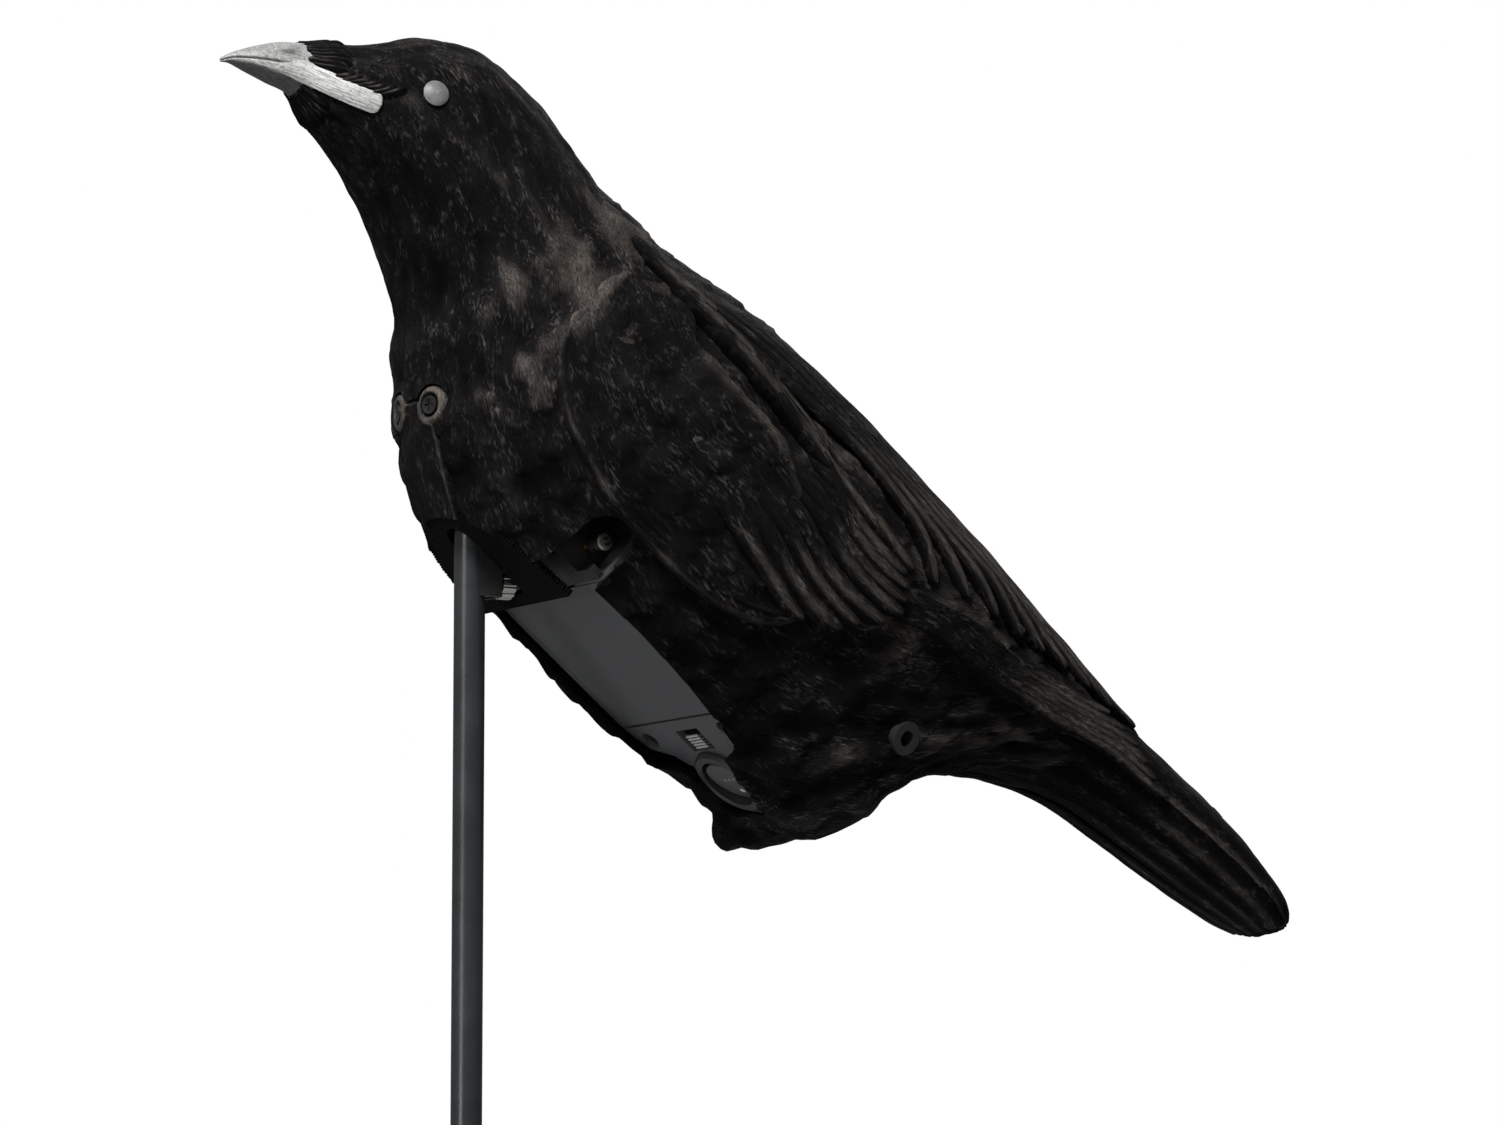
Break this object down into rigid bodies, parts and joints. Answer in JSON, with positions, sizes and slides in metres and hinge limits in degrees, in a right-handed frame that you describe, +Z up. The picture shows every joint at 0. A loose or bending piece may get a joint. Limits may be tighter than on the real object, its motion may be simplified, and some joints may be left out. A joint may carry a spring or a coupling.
{
  "type": "motion wing decoy",
  "caption": "Flocked crow decoy on a two-section ground pole, with a battery tray in its belly and a motor shaft whose side hubs take clip-on spinning wings.",
  "frame": {"origin": "on the pole's axis at ground level", "axes": "+Z up the pole, -X the way the beak points, +Y to the bird's right"},
  "size_m": [0.3866, 0.1044, 0.6069],
  "materials": {
    "black_flock": "flocked, velvet-like",
    "horn_grey": "satin paint over moulded plastic",
    "eye_grey": "matte",
    "housing_grey": "fine moulded texture",
    "black_plastic": "smooth moulded",
    "pole_steel": "satin dark powder coat",
    "bright_steel": "plated",
    "screw_black": "black oxide",
    "brass": "machined",
    "copper": "enamelled wire and laminations",
    "cell_wrap": "printed film, plain",
    "nylon_white": "moulded",
    "board_green": "solder mask",
    "lead_red": "extruded",
    "lead_black": "extruded"
  },
  "bodies": {
    "stake": {"ground_stake": "pole_steel", "stake_point": "pole_steel"},
    "pole": {"upper_pole": "pole_steel", "pole_spigot": "bright_steel"},
    "bird": {"body_shell": "black_flock", "breast_cover": "black_flock", "breast_cover_screws": "screw_black", "beak": "horn_grey", "eyes": "eye_grey", "flank_eyelets": "black_plastic", "pole_socket": "black_plastic", "clamp_nut": "brass", "housing_tray": "housing_grey", "recess_frame": "black_plastic", "motor_cover": "housing_grey", "housing_screws": "screw_black", "battery_cell_1": "cell_wrap", "battery_cell_2": "cell_wrap", "battery_cell_3": "cell_wrap", "battery_cell_4": "cell_wrap", "contact_springs": "bright_steel", "contact_plates": "bright_steel", "motor_can": "bright_steel", "motor_end_cap": "nylon_white", "motor_magnets": "black_plastic", "shaft_bushings": "brass", "circuit_board": "board_green", "board_parts": "black_plastic", "rocker_bezel": "black_plastic", "rocker_switch_body": "black_plastic", "slide_switch_body": "nylon_white", "lead_red": "lead_red", "lead_black": "lead_black"},
    "door": {"battery_door": "housing_grey", "door_hinge_pins": "bright_steel"},
    "wing_drive": {"drive_shaft": "bright_steel", "motor_armature": "copper", "wing_hub_left": "bright_steel", "wing_hub_right": "bright_steel"},
    "power_button": {"rocker_button": "housing_grey"},
    "mode_slider": {"slide_switch_knob": "black_plastic"},
    "clamp_screw": {"pole_clamp_screw": "bright_steel"}
  },
  "joints": [
    {"name": "pole_sections", "type": "slide", "parent": "stake", "child": "pole", "axis": [0, 0, 1], "range_m": [0, 0.04]},
    {"name": "bird_swivel", "type": "hinge", "parent": "pole", "child": "bird", "pos_m": [0, 0, 0.34], "axis": [0, 0, 1], "continuous": true},
    {"name": "wing_spin", "type": "hinge", "parent": "bird", "child": "wing_drive", "pos_m": [0.02814, 0, 0.31598], "axis": [0, 1, 0], "continuous": true},
    {"name": "door_hinge", "type": "hinge", "parent": "bird", "child": "door", "pos_m": [0.07134, 0, 0.26851], "axis": [0, -1, 0], "range_deg": [0, 100]},
    {"name": "power_rocker", "type": "hinge", "parent": "bird", "child": "power_button", "pos_m": [0.09419, 0, 0.25155], "axis": [0, 1, 0], "range_deg": [0, 18]},
    {"name": "mode_slide", "type": "slide", "parent": "bird", "child": "mode_slider", "axis": [-0.766, 0, 0.6428], "range_m": [0, 0.003]},
    {"name": "clamp_turn", "type": "hinge", "parent": "bird", "child": "clamp_screw", "pos_m": [0.01, 0, 0.3058], "axis": [1, 0, 0], "continuous": true}
  ]
}
